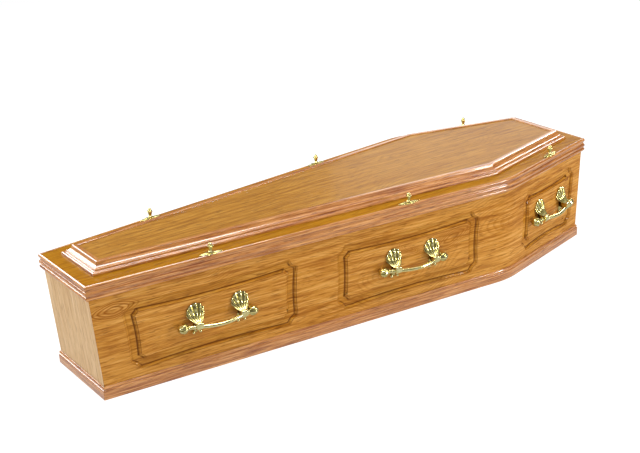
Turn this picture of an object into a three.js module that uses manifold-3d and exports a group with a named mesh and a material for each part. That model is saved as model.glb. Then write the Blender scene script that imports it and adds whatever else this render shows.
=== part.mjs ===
// A wooden coffin with a raised, moulded lid, three routed panels a side and six bar handles.
// Millimetres, +Z up. Foot end at -X, head end at +X. The origin is on the ground, under the middle.
import * as THREE from 'three';
import { mergeVertices } from 'three/addons/utils/BufferGeometryUtils.js';
import Module from 'manifold-3d';

const wasm = await Module();
wasm.setup();

// Lid outline, measured over its edge moulding
const lidLength = 1930;
const footHalfWidth = 154.7;
const shoulderHalfWidth = 300.3;
const headHalfWidth = 174.8;
const shoulderFromFoot = 1452;
const shoulderRadius = 260;
const bendSteps = 6;

// Heights
const lidTop = 361.6;
const lidThickness = 18;
const touchGap = 0.3;

// Boards of the body, which lean outward as they rise
const wall = 18;
const baseThickness = 18;
const sideInsetTop = 8.6;
const sideInsetFloor = 13;
const endInsetTop = 9;
const endInsetFloor = 30;

// Edge moulding of the lid
const edgeThickness = 8;
const edgeHeight = 45;
const edgeSetBack = 3.6;
const torusHeight = 12.5;
const torusSwell = 3.4;
const fasciaLow = 15;
const fasciaHigh = 24;
const fasciaDepth = 2;
const hollowHigh = 34;
const hollowDepth = 1.6;
const beadSwell = 2.8;
const beadRise = 0.8;

// Skirting around the foot of the body
const plinthHeight = 39.7;
const plinthThickness = 6;
const plinthBead = 8;
const plinthBeadSwell = 1.4;
const plinthQuirk = 2.6;

// Raised frame on the lid and the panel inside it
const frameSideInset = 55.5;
const frameEndInset = 51.3;
const frameHeight = 30.8;
const frameSlope = 28.2;
const frameWidth = 40.6;
const frameLedge = 9;
const ovoloStart = 2;
const ovoloWidth = 8.6;
const ovoloHeight = 8;
const ovoloSwell = 3.2;
const quirkWidth = 2.8;
const quirkDepth = 1.2;
const stepHeight = 12.6;
const stepWidth = 4.4;
const stepSwell = 1.3;
const stepLean = 0.4;
const stepRise = 2;
const coveHollow = 1.8;
const lipHeight = 3.2;
const lipWidth = 2.8;
const lipFace = 2.2;
const frameArris = 1.4;
const panelThickness = 9;
const panelSink = 3.2;

// Routed panels of the sides, measured on the middle line of the groove
const grooveWidth = 36.4;
const grooveFloor = 18;
const grooveDepth = 6.6;
const grooveStep = 1.2;
const grooveKnee = { across: 0.45, deep: 0.58 };
const panelLow = 79;
const panelHigh = 262;
const panelCorner = 20;
const panelCornerDip = 3;
const panelBowLong = 8;
const panelBowShort = 4;
const footPanel = { start: 95.5, length: 518, leanStart: -0.07, leanEnd: 0.035 };
const middlePanel = { start: 788, length: 502, leanStart: 0.03, leanEnd: 0.03 };
const headPanel = { start: 111.5, length: 300, leanStart: 0.03, leanEnd: 0.055 };

// Handles
const handleSpan = 144;
const handleHeight = 160;
const handleShift = 9.5;
const barRadius = 6;
const barReach = 128;
const barSlide = 7;
const barBow = 134;
const barOutMiddle = 40;
const barOutTip = 17;
const barSag = 5;
const barClearance = 0.5;
const budRadius = 15.5;
const budLength = 36;
const budNeck = 1.25;
const budNeckAt = 0.12;
const boreShare = 0.75;
const budShape = [[0.4, 0.84], [0.74, 1], [1, 0.5]];
const shellTop = 65;
const shellWidth = 58;
const shellMiddle = 34;
const shellSweep = 97;
const shellRibs = 5;
const shellScallop = 0.1;
const shellBow = 3;
const neckUp = 11;
const armWidth = 22;
// Rows of the shell from the neck to the rim: share of the way, out in the middle, out at the sides,
// depth of the valleys and thickness
const shellRows = [
  { share: 0, middle: 34, side: 29.5, valley: 0, thick: 4.6 },
  { share: 0.34, middle: 15, side: 16.5, valley: 2, thick: 5 },
  { share: 0.66, middle: 10.4, side: 8.6, valley: 2.6, thick: 4 },
  { share: 1, middle: 2.4, side: 2.4, valley: 0.4, thick: 2.4 },
];
const armBack = 12;
const armOverlap = 2;
const neckTuck = 0.5;
const eyeWall = 3.2;
const eyeChamfer = 3;
const dropRadius = 5.2;
const dropSpacing = 22;
const dropBelow = 27;
const tailThickness = 3;

// Lid screws and their plates
const screwStations = { foot: 386, middle: 1064, head: 1709 };
const screwInset = 12.5;
const plateLength = 76;
const plateWidth = 25;
const plateEdge = 1.4;
const plateCrown = 4;
const plateLobes = 8;
const plateScallop = 0.12;
const plateSeat = 0.3;
const plateTaper = 1.25;
const knobHeight = 29.5;
const knobRadius = 8.8;
const knobDisc = 2.3;
const knobWaist = 4.4;
const knobWaistUp = 5;
const knobFoot = 6.6;
const knobBall = 5.6;
const knobBallHeight = 9.5;

// Facets of round pieces
const barSides = 7;
const knobSides = 7;
const dropSides = 4;
const dropRings = 3;

const half = lidLength / 2;
const shoulderX = shoulderFromFoot - half;
const bodyTop = lidTop - lidThickness - touchGap;

// Materials
function material(color, roughness, metalness) {
  return new THREE.MeshStandardMaterial({ color, roughness, metalness });
}
const oak = material(0xc08a45, 0.4, 0);
const paleOak = material(0xcfa06c, 0.4, 0);
const moulding = material(0xb9713c, 0.35, 0);
const brass = material(0xd9bf62, 0.25, 1);

const group = new THREE.Group();
function addPiece(name, geometry, look, parent = group) {
  const mesh = new THREE.Mesh(geometry, look);
  mesh.name = name;
  parent.add(mesh);
  return mesh;
}

// Mesh helpers
function meshFrom(points, faces) {
  const geometry = new THREE.BufferGeometry();
  const flat = points.flatMap((p) => [p.x, p.y, p.z]);
  geometry.setAttribute('position', new THREE.Float32BufferAttribute(flat, 3));
  geometry.setIndex(faces.flat());
  return geometry;
}

function turnedOut(geometry) {
  const place = geometry.getAttribute('position');
  const index = geometry.getIndex();
  const [a, b, c] = [new THREE.Vector3(), new THREE.Vector3(), new THREE.Vector3()];
  let volume = 0;
  for (let i = 0; i < index.count; i += 3) {
    a.fromBufferAttribute(place, index.getX(i));
    b.fromBufferAttribute(place, index.getX(i + 1));
    c.fromBufferAttribute(place, index.getX(i + 2));
    volume += a.dot(b.cross(c));
  }
  if (volume < 0) {
    for (let i = 0; i < index.count; i += 3) {
      const second = index.getX(i + 1);
      index.setX(i + 1, index.getX(i + 2));
      index.setX(i + 2, second);
    }
  }
  return geometry;
}

// Triangles of an outline, each turned the way that the outline itself runs
function capOf(outline) {
  const turn = Math.sign(THREE.ShapeUtils.area(outline));
  return THREE.ShapeUtils.triangulateShape(outline, []).map(([a, b, c]) => {
    const own = Math.sign(THREE.ShapeUtils.area([outline[a], outline[b], outline[c]]));
    return own === turn ? [a, b, c] : [a, c, b];
  });
}

// A closed solid through rings of equal count; the first and last rings are capped.
function loft(rings, capOutline) {
  const count = rings[0].length;
  const faces = [];
  for (let r = 0; r + 1 < rings.length; r++) {
    for (let i = 0; i < count; i++) {
      const [a, b] = [r * count + i, r * count + ((i + 1) % count)];
      faces.push([a, b, b + count], [a, b + count, a + count]);
    }
  }
  const last = (rings.length - 1) * count;
  for (const [a, b, c] of capOf(capOutline)) {
    faces.push([a, c, b], [last + a, last + b, last + c]);
  }
  return turnedOut(meshFrom(rings.flat(), faces));
}

function mirroredY(geometry) {
  const copy = geometry.clone();
  copy.scale(1, -1, 1);
  return turnedOut(copy);
}

function mirroredX(geometry) {
  const copy = geometry.clone();
  copy.scale(-1, 1, 1);
  return turnedOut(copy);
}

function solidOf(geometry) {
  const bare = geometry.clone();
  bare.deleteAttribute('normal');
  bare.deleteAttribute('uv');
  const merged = mergeVertices(bare, 1e-4);
  const vertProperties = new Float32Array(merged.getAttribute('position').array);
  const triVerts = new Uint32Array(merged.getIndex().array);
  return new wasm.Manifold(new wasm.Mesh({ numProp: 3, vertProperties, triVerts }));
}

function geometryOf(solid) {
  const mesh = solid.getMesh();
  const geometry = new THREE.BufferGeometry();
  geometry.setAttribute('position', new THREE.Float32BufferAttribute(mesh.vertProperties, 3));
  geometry.setIndex(Array.from(mesh.triVerts));
  return geometry;
}

// Plan of the coffin: the +Y side as a path from the foot corner to the head corner.
const footSlope = Math.atan2(shoulderHalfWidth - footHalfWidth, shoulderFromFoot);
const headSlope = Math.atan2(shoulderHalfWidth - headHalfWidth, lidLength - shoulderFromFoot);

function inward(angle) {
  return new THREE.Vector2(Math.sin(angle), -Math.cos(angle));
}
const footNormal = inward(footSlope);
const headNormal = inward(-headSlope);

// How far a corner moves for each millimetre that both of its edges move inward
function mitre(first, second) {
  return first.clone().add(second).divideScalar(1 + first.dot(second));
}

function sidePlan(inset, endInset, rounded = true) {
  const shoulder = new THREE.Vector2(shoulderX, shoulderHalfWidth);
  shoulder.addScaledVector(mitre(footNormal, headNormal), inset);
  const footX = -half + endInset;
  const headX = half - endInset;
  const foot = new THREE.Vector2(footX, shoulder.y - (shoulder.x - footX) * Math.tan(footSlope));
  const head = new THREE.Vector2(headX, shoulder.y - (headX - shoulder.x) * Math.tan(headSlope));
  if (!rounded) return [foot, shoulder, head];
  const turn = footSlope + headSlope;
  const radius = shoulderRadius - inset;
  const reach = radius * Math.tan(turn / 2);
  const along = new THREE.Vector2(Math.cos(footSlope), Math.sin(footSlope));
  const start = shoulder.clone().addScaledVector(along, -reach);
  const centre = start.clone().addScaledVector(footNormal, radius);
  const bend = [];
  for (let i = 0; i <= bendSteps; i++) {
    const angle = Math.PI / 2 + footSlope - (turn * i) / bendSteps;
    bend.push(new THREE.Vector2(Math.cos(angle), Math.sin(angle)).multiplyScalar(radius).add(centre));
  }
  return [foot, ...bend, head];
}

// Mitre vectors of a path whose two ends meet the end boards
function mitresOf(path) {
  const normals = [new THREE.Vector2(1, 0)];
  for (let i = 0; i + 1 < path.length; i++) {
    const run = path[i + 1].clone().sub(path[i]);
    normals.push(new THREE.Vector2(run.y, -run.x).normalize());
  }
  normals.push(new THREE.Vector2(-1, 0));
  return path.map((_, i) => mitre(normals[i], normals[i + 1]));
}

// The path with both ends drawn back, so that mitred neighbours stay apart
function eased(path) {
  const copy = path.map((p) => p.clone());
  const start = path[1].clone().sub(path[0]).normalize();
  const end = path.at(-2).clone().sub(path.at(-1)).normalize();
  copy[0].addScaledVector(start, touchGap);
  copy[copy.length - 1].addScaledVector(end, touchGap);
  return copy;
}

// A profile [inward distance, height] swept along part of a path
function sweepProfile(profile, path, mitres, base) {
  const easedPath = eased(path);
  const rings = easedPath.map((place, i) =>
    profile.map(([into, up]) => {
      const spot = place.clone().addScaledVector(mitres[i], into);
      return new THREE.Vector3(spot.x, spot.y, base + up);
    }),
  );
  return loft(rings, profile.map(([into, up]) => new THREE.Vector2(into, up)));
}

function endRun(corner, vector) {
  const path = [corner.clone(), new THREE.Vector2(corner.x, -corner.y)];
  const mitres = [vector.clone(), new THREE.Vector2(vector.x, -vector.y)];
  return [path, mitres];
}

// Two sides and two ends of one moulding
function mouldingSet(name, profile, path, base, look) {
  const mitres = mitresOf(path);
  const side = sweepProfile(profile, path, mitres, base);
  addPiece(`${name}_left`, side, look);
  addPiece(`${name}_right`, mirroredY(side), look);
  for (const [end, corner, vector] of [
    ['foot', path[0], mitres[0]],
    ['head', path.at(-1), mitres.at(-1)],
  ]) {
    addPiece(`${name}_${end}`, sweepProfile(profile, ...endRun(corner, vector), base), look);
  }
}

// Points of a shallow curve between two points; rise is how far it swells to the left of the run
function swell(from, to, rise, steps = 3) {
  const points = [];
  const [dx, dy] = [to[0] - from[0], to[1] - from[1]];
  const length = Math.hypot(dx, dy);
  for (let i = 1; i < steps; i++) {
    const t = i / steps;
    const lift = (rise * 4 * t * (1 - t)) / length;
    points.push([from[0] + dx * t - dy * lift, from[1] + dy * t + dx * lift]);
  }
  return points;
}

// Body
const insetAt = (floor, top, z) => floor + ((top - floor) * z) / bodyTop;
const sideInsetAt = (z) => insetAt(sideInsetFloor, sideInsetTop, z);
const endInsetAt = (z) => insetAt(endInsetFloor, endInsetTop, z);

function wallRing(path, mitres, z) {
  const outer = path.map((p) => new THREE.Vector3(p.x, p.y, z));
  const inner = path.map((p, i) => {
    const spot = p.clone().addScaledVector(mitres[i], wall);
    return new THREE.Vector3(spot.x, spot.y, z);
  });
  return [...outer, ...inner.reverse()];
}

function wallBetween(pathAt) {
  const rings = [0, bodyTop].map((z) => {
    const [path, mitres] = pathAt(z);
    return wallRing(eased(path), mitres, z);
  });
  return loft(rings, rings[0].map((p) => new THREE.Vector2(p.x, p.y)));
}

function sideWallPath(z) {
  const path = sidePlan(sideInsetAt(z), endInsetAt(z));
  return [path, mitresOf(path)];
}

// A flat stretch of the side as a frame: u toward the head, out of the board, and up its face
function faceFrame(stretch) {
  const [bottom, top] = [0, bodyTop].map((z) => {
    const path = sidePlan(sideInsetAt(z), endInsetAt(z), false);
    return path.map((p) => new THREE.Vector3(p.x, p.y, z));
  });
  const from = stretch === 'head' ? 1 : 0;
  const along = bottom[from + 1].clone().sub(bottom[from]).normalize();
  const rise = top[from].clone().sub(bottom[from]);
  const up = rise.addScaledVector(along, -rise.dot(along)).normalize();
  const out = up.clone().cross(along).normalize();
  return { origin: bottom[from], along, up, out };
}

function onFace(frame, u, z, out) {
  return frame.origin
    .clone()
    .addScaledVector(frame.along, u)
    .addScaledVector(frame.up, z / frame.up.z)
    .addScaledVector(frame.out, out);
}

// Middle line of a routed panel: four hollow edges and four notched corners
function panelLine(panel) {
  const middle = (panelLow + panelHigh) / 2;
  const start = (z) => panel.start + panel.leanStart * (z - middle);
  const end = (z) => panel.start + panel.length + panel.leanEnd * (z - middle);
  const low = panelLow + panelCorner;
  const high = panelHigh - panelCorner;
  const edges = [
    { from: [start(panelLow) + panelCorner, panelLow], to: [end(panelLow) - panelCorner, panelLow] },
    { from: [end(low), low], to: [end(high), high] },
    { from: [end(panelHigh) - panelCorner, panelHigh], to: [start(panelHigh) + panelCorner, panelHigh] },
    { from: [start(high), high], to: [start(low), low] },
  ];
  const line = [];
  edges.forEach(({ from, to }, i) => {
    const [bow, steps] = i % 2 === 0 ? [panelBowLong, 3] : [panelBowShort, 2];
    const next = edges[(i + 1) % 4].from;
    line.push(from, ...swell(from, to, bow, steps), to, ...swell(to, next, panelCornerDip, 2));
  });
  return line.map(([u, z]) => new THREE.Vector2(u, z));
}

// Section of the groove as [across, depth]; it stands proud of the board so that it cuts cleanly
function grooveSection() {
  const edge = grooveWidth / 2;
  const foot = grooveFloor / 2;
  const run = edge - foot;
  const right = [
    [foot, -grooveDepth],
    [foot + run * grooveKnee.across, -grooveDepth * grooveKnee.deep],
    [edge, -grooveStep],
    [edge, grooveDepth],
  ];
  const left = right.map(([across, deep]) => [-across, deep]).reverse();
  return [...right, ...left];
}

function grooveCutter(panel, frame) {
  const line = panelLine(panel);
  const section = grooveSection();
  const count = line.length;
  const rings = line.map((spot, i) => {
    const before = spot.clone().sub(line[(i + count - 1) % count]).normalize();
    const after = line[(i + 1) % count].clone().sub(spot).normalize();
    const side = mitre(new THREE.Vector2(before.y, -before.x), new THREE.Vector2(after.y, -after.x));
    return section.map(([across, out]) => {
      const place = spot.clone().addScaledVector(side, across);
      return onFace(frame, place.x, place.y, out);
    });
  });
  const size = section.length;
  const faces = [];
  for (let r = 0; r < count; r++) {
    const next = (r + 1) % count;
    for (let i = 0; i < size; i++) {
      const j = (i + 1) % size;
      faces.push([r * size + i, r * size + j, next * size + j]);
      faces.push([r * size + i, next * size + j, next * size + i]);
    }
  }
  return turnedOut(meshFrom(rings.flat(), faces));
}

const footFace = faceFrame('foot');
const headFace = faceFrame('head');

function sideBoard() {
  let board = solidOf(wallBetween(sideWallPath));
  for (const [panel, frame] of [[footPanel, footFace], [middlePanel, footFace], [headPanel, headFace]]) {
    board = board.subtract(solidOf(grooveCutter(panel, frame)));
  }
  return geometryOf(board);
}

function endBoard(pick) {
  return wallBetween((z) => {
    const path = sidePlan(sideInsetAt(z), endInsetAt(z));
    const mitres = mitresOf(path);
    return endRun(path.at(pick), mitres.at(pick));
  });
}

// A flat board that fills an outline between two heights
function flatBoard(outlineAt, low, high) {
  const rings = [low, high].map((z) => {
    const path = outlineAt(z);
    const other = path.map((p) => new THREE.Vector2(p.x, -p.y)).reverse();
    return [...path, ...other].map((p) => new THREE.Vector3(p.x, p.y, z));
  });
  return loft(rings, rings[0].map((p) => new THREE.Vector2(p.x, p.y)));
}

function buildBody() {
  const side = sideBoard();
  addPiece('side_board_left', side, oak);
  addPiece('side_board_right', mirroredY(side), oak);
  addPiece('end_board_foot', endBoard(0), paleOak);
  addPiece('end_board_head', endBoard(-1), paleOak);
  const seat = wall + touchGap;
  const inside = (z) => sidePlan(sideInsetAt(z) + seat, endInsetAt(z) + seat);
  addPiece('base_board', flatBoard(inside, 0, baseThickness), oak);
}

// Skirting: fascia, a small step and a bead along the top
function plinthProfile() {
  const top = plinthHeight;
  const deep = plinthThickness;
  const step = top - plinthBead;
  return [
    [deep, 0],
    [0, 0],
    [0, step - 4],
    [plinthQuirk * 0.4, step - 2.5],
    [plinthQuirk, step - 2],
    [plinthQuirk - 0.4, step],
    ...swell([plinthQuirk - 0.4, step], [deep * 0.7, top], plinthBeadSwell),
    [deep * 0.7, top],
    [deep, top],
  ];
}

function buildPlinth() {
  const top = plinthHeight;
  const profile = plinthProfile();
  const outset = plinthThickness + touchGap;
  const path = sidePlan(sideInsetAt(top) - outset, endInsetAt(top) - outset);
  mouldingSet('plinth_moulding', profile, path, 0, moulding);
}

// Edge moulding of the lid, from below: a torus, a fascia, a hollow and a bead
function edgeProfile() {
  const deep = edgeThickness;
  const foot = -edgeHeight;
  const torusTop = [edgeSetBack, foot + torusHeight];
  const fasciaTop = [fasciaDepth - 0.8, foot + fasciaHigh];
  const hollowTop = [fasciaDepth + 0.6, foot + hollowHigh];
  const beadTop = [edgeSetBack - 0.6, beadRise];
  return [
    [deep, foot],
    [edgeSetBack, foot],
    ...swell([edgeSetBack, foot], torusTop, torusSwell, 3),
    torusTop,
    [edgeSetBack, foot + fasciaLow - 1],
    [fasciaDepth, foot + fasciaLow],
    ...swell([fasciaDepth, foot + fasciaLow], fasciaTop, 1, 2),
    fasciaTop,
    ...swell(fasciaTop, hollowTop, -hollowDepth, 2),
    hollowTop,
    ...swell(hollowTop, beadTop, beadSwell, 4),
    beadTop,
    [deep - 1, beadRise],
    [deep, 0],
  ];
}

// Moulding of the raised frame, with a ledge inside that carries the panel
function frameProfile() {
  const top = frameHeight;
  const ledge = top - panelSink - panelThickness - touchGap;
  const quirk = ovoloWidth + quirkWidth;
  const stepFoot = [quirk + stepLean, stepHeight];
  const stepTop = [quirk + stepLean + stepWidth, stepHeight + stepRise];
  const coveTop = [frameSlope - lipWidth, top - lipHeight];
  return [
    [frameWidth + frameLedge, 0],
    [0, 0],
    [0, ovoloStart],
    ...swell([0, ovoloStart], [ovoloWidth, ovoloHeight], ovoloSwell, 4),
    [ovoloWidth, ovoloHeight],
    [ovoloWidth + quirkWidth / 2, ovoloHeight - quirkDepth],
    [quirk, ovoloHeight],
    stepFoot,
    ...swell(stepFoot, stepTop, stepSwell, 3),
    stepTop,
    ...swell(stepTop, coveTop, -coveHollow, 3),
    coveTop,
    [frameSlope - lipFace, top - lipHeight / 3],
    [frameSlope, top],
    [frameWidth - frameArris, top],
    [frameWidth, top - frameArris],
    [frameWidth, ledge],
    [frameWidth + frameLedge, ledge],
  ];
}

function buildLid() {
  const edge = edgeThickness + touchGap;
  const board = () => sidePlan(edge, edge);
  addPiece('lid_board', flatBoard(board, lidTop - lidThickness, lidTop), oak);
  mouldingSet('lid_moulding', edgeProfile(), sidePlan(0, 0), lidTop, moulding);

  const profile = frameProfile();
  const base = lidTop + touchGap;
  const outline = sidePlan(frameSideInset, frameEndInset, false);
  const mitres = mitresOf(outline);
  for (const [name, from] of [['long', 0], ['shoulder', 1]]) {
    const piece = sweepProfile(profile, outline.slice(from, from + 2), mitres.slice(from, from + 2), base);
    addPiece(`raised_frame_${name}_left`, piece, moulding);
    addPiece(`raised_frame_${name}_right`, mirroredY(piece), moulding);
  }
  for (const [name, pick] of [['foot', 0], ['head', -1]]) {
    const run = endRun(outline.at(pick), mitres.at(pick));
    addPiece(`raised_frame_${name}`, sweepProfile(profile, ...run, base), moulding);
  }

  const fit = frameWidth + touchGap;
  const inside = () => sidePlan(frameSideInset + fit, frameEndInset + fit, false);
  const panelTop = base + frameHeight - panelSink;
  addPiece('raised_panel', flatBoard(inside, panelTop - panelThickness, panelTop), oak);
}

// Handles. The bar bows away from the board and its buds turn back toward it.
function barPoint(s) {
  const turn = (Math.PI / 2) * Math.min(1, Math.abs(s) / barBow);
  const out = barOutMiddle - (barOutMiddle - barOutTip) * Math.sin(turn) ** 2;
  return new THREE.Vector3(s, out, -barSag * Math.cos(turn) ** 2);
}

// Ends of an eye's bore, from the middle of the handle
const boreEnds = [-1, 1].map((t) => handleSpan / 2 + t * armWidth * boreShare);

function barRing(s, radius, sides) {
  const centre = barPoint(s);
  const along = barPoint(s + 1).sub(barPoint(s - 1)).normalize();
  const up = new THREE.Vector3(0, 0, 1);
  const across = up.clone().cross(along).normalize();
  const lift = along.clone().cross(across);
  const ring = [];
  for (let i = 0; i < sides; i++) {
    const angle = (2 * Math.PI * i) / sides;
    const spot = centre.clone().addScaledVector(across, radius * Math.cos(angle));
    ring.push(spot.addScaledVector(lift, radius * Math.sin(angle)));
  }
  return ring;
}

const circleCap = (sides) => {
  const cap = [];
  for (let i = 0; i < sides; i++) {
    const angle = (2 * Math.PI * i) / sides;
    cap.push(new THREE.Vector2(Math.cos(angle), Math.sin(angle)));
  }
  return cap;
};

// The bar sits a little toward the foot in its two eyes
function barGeometry() {
  const budStart = barReach - budLength;
  const swelling = budShape.map(([t, share]) => [t, budRadius * share]);
  const bud = [[0, barRadius], [budNeckAt, barRadius * budNeck], ...swelling];
  const right = bud.map(([t, radius]) => [budStart + t * budLength - barSlide, radius]);
  const left = bud.map(([t, radius]) => [-budStart - t * budLength - barSlide, radius]).reverse();
  const [inner, outer] = boreEnds;
  const rod = [-outer, -inner, 0, inner].map((s) => [s, barRadius]);
  const rings = [...left, ...rod, ...right].map(([s, radius]) => barRing(s, radius, barSides));
  return loft(rings, circleCap(barSides));
}

// Ribbed shell that lies on the board at its rim and sweeps out to a neck over the bar
function shellGeometry() {
  const count = (shellRibs - 1) * 2;
  const middle = new THREE.Vector2(0, shellMiddle);
  const sweep = THREE.MathUtils.degToRad(shellSweep);
  const points = [];
  for (const row of shellRows) {
    for (let j = 0; j <= count; j++) {
      const side = (2 * j) / count - 1;
      const valley = j % 2 === 1;
      const neck = new THREE.Vector2(side * (armWidth / 2 - neckTuck), neckUp);
      const arc = new THREE.Vector2(
        (shellWidth / 2) * Math.sin(sweep * side),
        (shellTop - shellMiddle) * Math.cos(sweep * side),
      );
      const rim = middle.clone().addScaledVector(arc, valley ? 1 - shellScallop : 1);
      const spot = neck.lerp(rim, row.share);
      const bow = side * shellBow * Math.sin(Math.PI * row.share);
      const out = row.middle + (row.side - row.middle) * side ** 2 - (valley ? row.valley : 0);
      points.push(new THREE.Vector3(spot.x + bow, out, spot.y));
    }
  }
  const faces = [];
  const width = count + 1;
  const last = shellRows.length - 1;
  for (let r = 0; r < last; r++) {
    for (let j = 0; j < count; j++) {
      const a = r * width + j;
      faces.push([a, a + 1, a + 1 + width], [a, a + 1 + width, a + width]);
    }
  }
  // The back follows the outline alone, in one strip of triangles from the neck to the rim
  const outline = [];
  for (let j = 0; j <= count; j++) outline.push(j);
  for (let r = 1; r < last; r++) outline.push(r * width + count);
  for (let j = count; j >= 0; j--) outline.push(last * width + j);
  for (let r = last - 1; r > 0; r--) outline.push(r * width);
  const back = points.length;
  for (const front of outline) {
    const row = shellRows[Math.floor(front / width)];
    const { x, y, z } = points[front];
    points.push(new THREE.Vector3(x, Math.max(0, y - row.thick), z));
  }
  outline.forEach((front, i) => {
    const next = (i + 1) % outline.length;
    faces.push([front, back + i, back + next], [front, back + next, outline[next]]);
  });
  const size = outline.length;
  const strip = (i, j) => {
    if (j - i < 2) return;
    const [a, b] = i < count / 2 || j > size - count / 2 ? [i + 1, j] : [i + 1, j - 1];
    faces.push([back + i, back + j, back + a]);
    if (b !== j) faces.push([back + j, back + b, back + a]);
    strip(a, b);
  };
  strip(0, size - 1);
  return turnedOut(meshFrom(points, faces));
}

// Eye that holds the bar under the neck, with a post back to the board: [out, up]
function armGeometry() {
  const axis = barPoint(handleSpan / 2);
  const front = axis.y + barRadius + barClearance + eyeWall;
  const under = axis.z - barRadius - barClearance - eyeWall;
  const outline = [
    [0, under + eyeChamfer],
    [axis.y - armBack, under + eyeChamfer],
    [axis.y + barRadius / 2, under],
    [front, axis.z],
    [front, neckUp + armOverlap],
    [axis.y - armBack, neckUp],
    [0, neckUp + eyeChamfer],
  ];
  const rings = [-1, 1].map((end) =>
    outline.map(([out, up]) => new THREE.Vector3((end * armWidth) / 2, out, up)),
  );
  return loft(rings, outline.map(([out, up]) => new THREE.Vector2(out, up)));
}

// Two small balls that hang below the plate, on a flat tail
function dropSolids() {
  const tail = new THREE.BoxGeometry(dropSpacing, tailThickness, dropBelow);
  tail.translate(0, tailThickness / 2, -dropBelow / 2);
  const drops = [-1, 1].map((side) => {
    const ball = new THREE.SphereGeometry(dropRadius, dropSides, dropRings);
    ball.rotateX(Math.PI / 2);
    ball.translate((side * dropSpacing) / 2, dropRadius, -dropBelow);
    return solidOf(ball);
  });
  return drops.reduce((all, ball) => all.add(ball), solidOf(tail));
}

function bracketGeometry() {
  const centre = handleSpan / 2;
  const parts = solidOf(shellGeometry()).add(solidOf(armGeometry())).add(dropSolids());
  const bore = boreEnds.map((s) => barRing(s, barRadius + barClearance, barSides));
  const bracket = parts.translate([centre, touchGap, 0]);
  return geometryOf(bracket.subtract(solidOf(loft(bore, circleCap(barSides)))));
}

const handlePlaces = [
  ['foot', footPanel, footFace],
  ['middle', middlePanel, footFace],
  ['head', headPanel, headFace],
];

function buildHandles() {
  const bar = barGeometry();
  const bracket = bracketGeometry();
  const otherBar = mirroredX(bar);
  const otherBracket = mirroredX(bracket);
  for (const [place, panel, frame] of handlePlaces) {
    const spot = onFace(frame, panel.start + panel.length / 2 + handleShift, handleHeight, 0);
    for (const [side, sign] of [['left', 1], ['right', -1]]) {
      const flip = new THREE.Vector3(1, sign, 1);
      const out = frame.out.clone().multiply(flip);
      const up = frame.up.clone().multiply(flip);
      const along = out.clone().cross(up);
      const handle = new THREE.Group();
      handle.position.copy(spot.clone().multiply(flip));
      handle.quaternion.setFromRotationMatrix(new THREE.Matrix4().makeBasis(along, out, up));
      addPiece(`handle_bar_${place}_${side}`, sign > 0 ? bar : otherBar, brass, handle);
      const headward = sign > 0 ? bracket : otherBracket;
      const footward = sign > 0 ? otherBracket : bracket;
      addPiece(`handle_bracket_${place}_${side}_headward`, headward, brass, handle);
      addPiece(`handle_bracket_${place}_${side}_footward`, footward, brass, handle);
      group.add(handle);
    }
  }
}

// Lid screws: a scalloped, pointed plate and a waisted thumb knob
function plateGeometry() {
  const count = plateLobes * 2;
  const ringAt = (scale, up, scallop) => {
    const ring = [];
    for (let i = 0; i < count; i++) {
      const angle = (2 * Math.PI * i) / count;
      const dip = i % 2 === 0 ? 1 : 1 - scallop;
      const long = (plateLength / 2) * scale * dip;
      const wide = (plateWidth / 2) * scale * dip;
      const taper = Math.sign(Math.sin(angle)) * Math.abs(Math.sin(angle)) ** plateTaper;
      ring.push(new THREE.Vector3(long * Math.cos(angle), wide * taper, up));
    }
    return ring;
  };
  const edge = [0, plateEdge].map((up) => ringAt(1, up, plateScallop));
  const rings = [...edge, ringAt(plateSeat, plateCrown, 0)];
  return loft(rings, rings[0].map((p) => new THREE.Vector2(p.x, p.y)));
}

function knobGeometry() {
  const discTop = knobHeight - knobBallHeight;
  const profile = [
    [0, 0],
    [knobFoot, 0],
    [knobWaist, knobWaistUp],
    [knobRadius, discTop - knobDisc],
    [knobRadius, discTop],
    [knobBall * 0.9, discTop + knobBallHeight * 0.2],
    [knobBall, discTop + knobBallHeight * 0.6],
    [0, knobHeight],
  ];
  const points = profile.map(([radius, up]) => new THREE.Vector2(radius, up));
  const geometry = new THREE.LatheGeometry(points, knobSides);
  geometry.rotateX(Math.PI / 2);
  return geometryOf(solidOf(geometry));
}

function buildScrews() {
  const plate = plateGeometry();
  const knob = knobGeometry();
  const line = sidePlan(screwInset, screwInset, false);
  for (const [place, station] of Object.entries(screwStations)) {
    const x = station - half;
    const onHead = station > shoulderFromFoot;
    const slope = onHead ? -headSlope : footSlope;
    const y = line[1].y + (x - line[1].x) * Math.tan(slope);
    for (const [side, sign] of [['left', 1], ['right', -1]]) {
      const screw = new THREE.Group();
      screw.position.set(x, sign * y, lidTop + beadRise + touchGap);
      screw.rotation.z = sign * slope;
      addPiece(`screw_plate_${place}_${side}`, plate, brass, screw);
      const turned = addPiece(`lid_screw_${place}_${side}`, knob, brass, screw);
      turned.position.z = plateCrown + touchGap;
      group.add(screw);
    }
  }
}

buildBody();
buildPlinth();
buildLid();
buildHandles();
buildScrews();

export default group;
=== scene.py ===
"""A wooden coffin with a raised, moulded lid, routed side panels, bar handles and lid screws.

Sizes are in millimetres and become metres when a mesh is made. +X is the head end, +Z is up.
"""

import math

import bpy
import numpy as np
from mathutils import Matrix, Vector


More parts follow.
